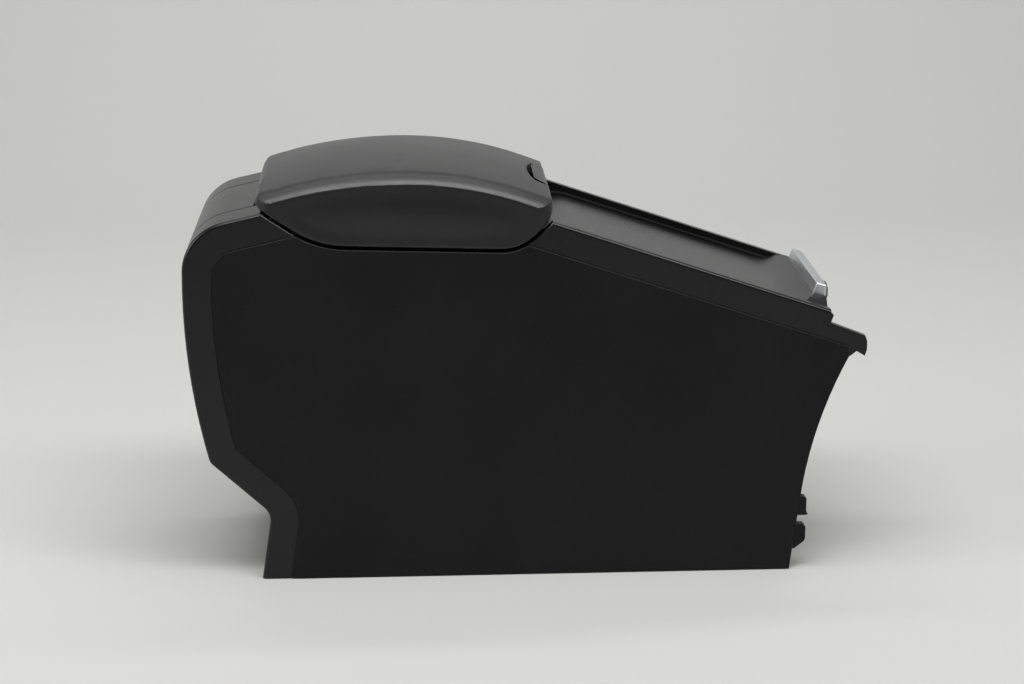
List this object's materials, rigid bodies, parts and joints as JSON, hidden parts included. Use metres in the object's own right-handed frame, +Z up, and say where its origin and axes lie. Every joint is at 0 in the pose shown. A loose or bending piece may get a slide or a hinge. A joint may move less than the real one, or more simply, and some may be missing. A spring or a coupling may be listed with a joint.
{
  "type": "car centre armrest",
  "caption": "Rear section of a car centre console with a hinged padded armrest lid over a storage bin, proud side panels and a sloped roller shutter with a metal pull bar over a tray.",
  "frame": {"origin": "On the floor, under the middle of the length and the width.", "axes": "+X forward in the car, towards the shutter's handle; +Y to the car's left; +Z up."},
  "size_m": [0.5551, 0.18, 0.3447],
  "materials": {
    "band_plastic": "fine-grained satin black",
    "panel_plastic": "coarse-grained matt black",
    "inner_plastic": "plain matt black",
    "pad_leather": "smooth satin black leatherette",
    "paddle_plastic": "satin black",
    "shutter_plastic": "smooth satin black",
    "handle_metal": "satin silver",
    "bracket_metal": "black coated",
    "screw_steel": "zinc plated",
    "mat_rubber": "matt"
  },
  "bodies": {
    "console": {"right_band": "band_plastic", "left_band": "band_plastic", "right_side_panel": "panel_plastic", "left_side_panel": "panel_plastic", "rear_cover": "band_plastic", "storage_bin": "inner_plastic", "bin_mat": "mat_rubber", "front_tray": "inner_plastic", "tray_screws": "screw_steel", "right_guide_rail": "inner_plastic", "left_guide_rail": "inner_plastic", "hinge_bracket": "bracket_metal", "hinge_pin": "screw_steel", "hinge_screws": "screw_steel", "striker": "screw_steel", "striker_screws": "screw_steel"},
    "lid": {"armrest_pad": "pad_leather", "lid_shell": "inner_plastic", "lid_liner": "inner_plastic", "lid_screws": "screw_steel", "lid_bumpers": "mat_rubber", "latch_pin": "screw_steel", "latch_spring": "screw_steel"},
    "latch": {"latch_paddle": "paddle_plastic"},
    "shutter": {"shutter_front_bar": "shutter_plastic", "shutter_handle": "handle_metal", "shutter_sheet": "shutter_plastic"}
  },
  "joints": [
    {"name": "lid_hinge", "type": "hinge", "parent": "console", "child": "lid", "pos_m": [-0.214, 0, 0.3157], "axis": [0, -1, 0], "range_deg": [0, 80]},
    {"name": "latch_pivot", "type": "hinge", "parent": "lid", "child": "latch", "pos_m": [-0.006, 0, 0.305], "axis": [0, -1, 0], "range_deg": [0, 5], "stiffness_Nm_per_rad": 0.12, "springref_deg": -14.32, "deforming": ["latch_spring"]},
    {"name": "shutter_slide", "type": "slide", "parent": "console", "child": "shutter", "axis": [-0.9478, 0, 0.319], "range_m": [0, 0.165], "deforming": ["shutter_sheet"]}
  ]
}
